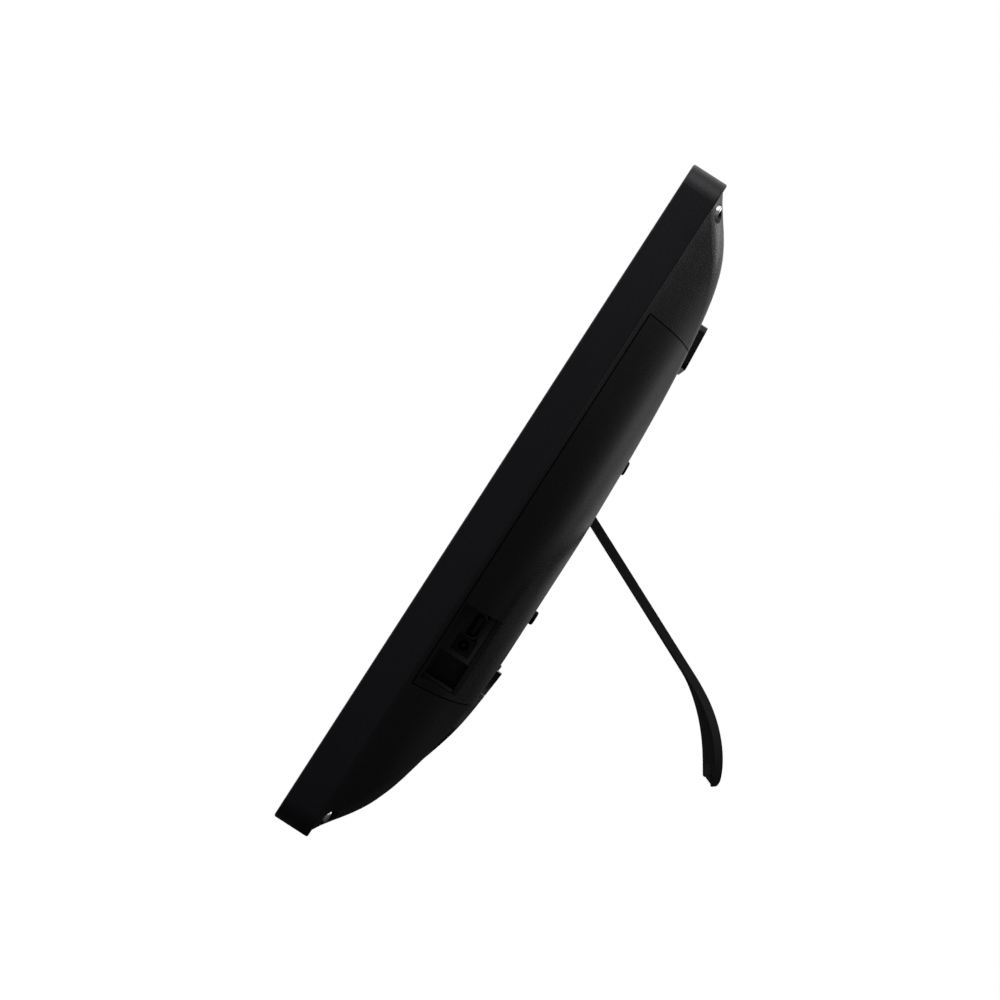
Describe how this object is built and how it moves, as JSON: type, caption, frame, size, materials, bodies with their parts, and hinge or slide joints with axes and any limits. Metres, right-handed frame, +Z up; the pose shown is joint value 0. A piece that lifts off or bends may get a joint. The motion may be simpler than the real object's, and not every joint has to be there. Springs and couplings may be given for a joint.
{
  "type": "digital photo frame",
  "caption": "Digital photo frame that leans on a fold-out rear stand: slim bezel with a dark screen, pillow-shaped back with side sockets, push buttons and a keyhole.",
  "frame": {"origin": "on the table, under the centre of the whole frame as it stands on its lower back edge and the open stand leg", "axes": "+X to the viewer's right as seen from the front, +Y towards the back, where the stand is, +Z up"},
  "size_m": [0.222, 0.1146, 0.1592],
  "materials": {
    "bezel_plastic": "fine satin black",
    "window_acrylic": "clear polished acrylic, smoked by the dark screen behind",
    "gasket_foam": "black closed-cell foam",
    "screen_glass": "dark glass of a screen that is off",
    "backlight_plastic": "milky light guide",
    "tray_steel": "zinc-plated sheet",
    "screw_steel": "bright nickel-plated screws",
    "pin_steel": "ground steel",
    "ribbon_film": "amber polyimide",
    "board_laminate": "green solder mask",
    "standoff_brass": "turned brass",
    "chip_plastic": "black moulded epoxy",
    "capacitor_can": "bright drawn can",
    "socket_nylon": "natural nylon",
    "port_plate_plastic": "satin dark grey",
    "shell_plastic": "very fine sparked texture, black",
    "panel_plastic": "satin black",
    "bumper_rubber": "soft matte black",
    "leg_plastic": "satin black",
    "button_plastic": "satin dark grey",
    "speaker_frame": "black coated basket and magnet",
    "lead_insulation": "red insulation"
  },
  "bodies": {
    "frame": {"back_panel": "panel_plastic", "board_capacitors": "capacitor_can", "board_chips": "chip_plastic", "board_screws": "screw_steel", "board_standoffs": "standoff_brass", "card_socket": "chip_plastic", "corner_screws": "screw_steel", "dc_jack": "chip_plastic", "front_bezel": "bezel_plastic", "front_window": "window_acrylic", "hinge_bracket": "tray_steel", "hinge_pin": "pin_steel", "hinge_screws": "screw_steel", "hinge_washers": "tray_steel", "key_board": "board_laminate", "key_board_screws": "screw_steel", "key_ribbon": "ribbon_film", "key_switches": "chip_plastic", "lcd_backlight": "backlight_plastic", "lcd_bracket_screws": "screw_steel", "lcd_brackets": "tray_steel", "lcd_gasket": "gasket_foam", "lcd_glass": "screen_glass", "lcd_ribbon": "ribbon_film", "lcd_tray": "tray_steel", "lead_sockets": "socket_nylon", "main_board": "board_laminate", "port_plate": "port_plate_plastic", "rear_shell": "shell_plastic", "ribbon_sockets": "socket_nylon", "shield_can": "tray_steel", "speaker_leads": "lead_insulation", "speaker_left": "speaker_frame", "speaker_right": "speaker_frame", "usb_socket": "tray_steel", "wall_bumpers": "bumper_rubber"},
    "stand": {"stand_leg": "leg_plastic", "stand_foot_pad": "bumper_rubber"},
    "button_back": {"button_back": "button_plastic"},
    "button_play": {"button_play": "button_plastic"},
    "button_enter": {"button_enter": "button_plastic"},
    "button_down": {"button_down": "button_plastic"},
    "button_up": {"button_up": "button_plastic"},
    "button_power": {"button_power": "button_plastic"}
  },
  "joints": [
    {"name": "stand_fold", "type": "hinge", "parent": "frame", "child": "stand", "pos_m": [0, 0.02035, 0.0768], "axis": [-1, 0, 0], "range_deg": [0, 64.94]},
    {"name": "back_press", "type": "slide", "parent": "frame", "child": "button_back", "axis": [0, -0.8403, 0.5421], "range_m": [0, 0.0004], "stiffness_N_per_m": 400},
    {"name": "play_press", "type": "slide", "parent": "frame", "child": "button_play", "axis": [0, -0.8403, 0.5421], "range_m": [0, 0.0004], "stiffness_N_per_m": 400},
    {"name": "enter_press", "type": "slide", "parent": "frame", "child": "button_enter", "axis": [0, -0.8403, 0.5421], "range_m": [0, 0.0004], "stiffness_N_per_m": 400},
    {"name": "down_press", "type": "slide", "parent": "frame", "child": "button_down", "axis": [0, -0.8403, 0.5421], "range_m": [0, 0.0004], "stiffness_N_per_m": 400},
    {"name": "up_press", "type": "slide", "parent": "frame", "child": "button_up", "axis": [0, -0.8403, 0.5421], "range_m": [0, 0.0004], "stiffness_N_per_m": 400},
    {"name": "power_press", "type": "slide", "parent": "frame", "child": "button_power", "axis": [0, -0.8403, 0.5421], "range_m": [0, 0.0004], "stiffness_N_per_m": 400}
  ]
}
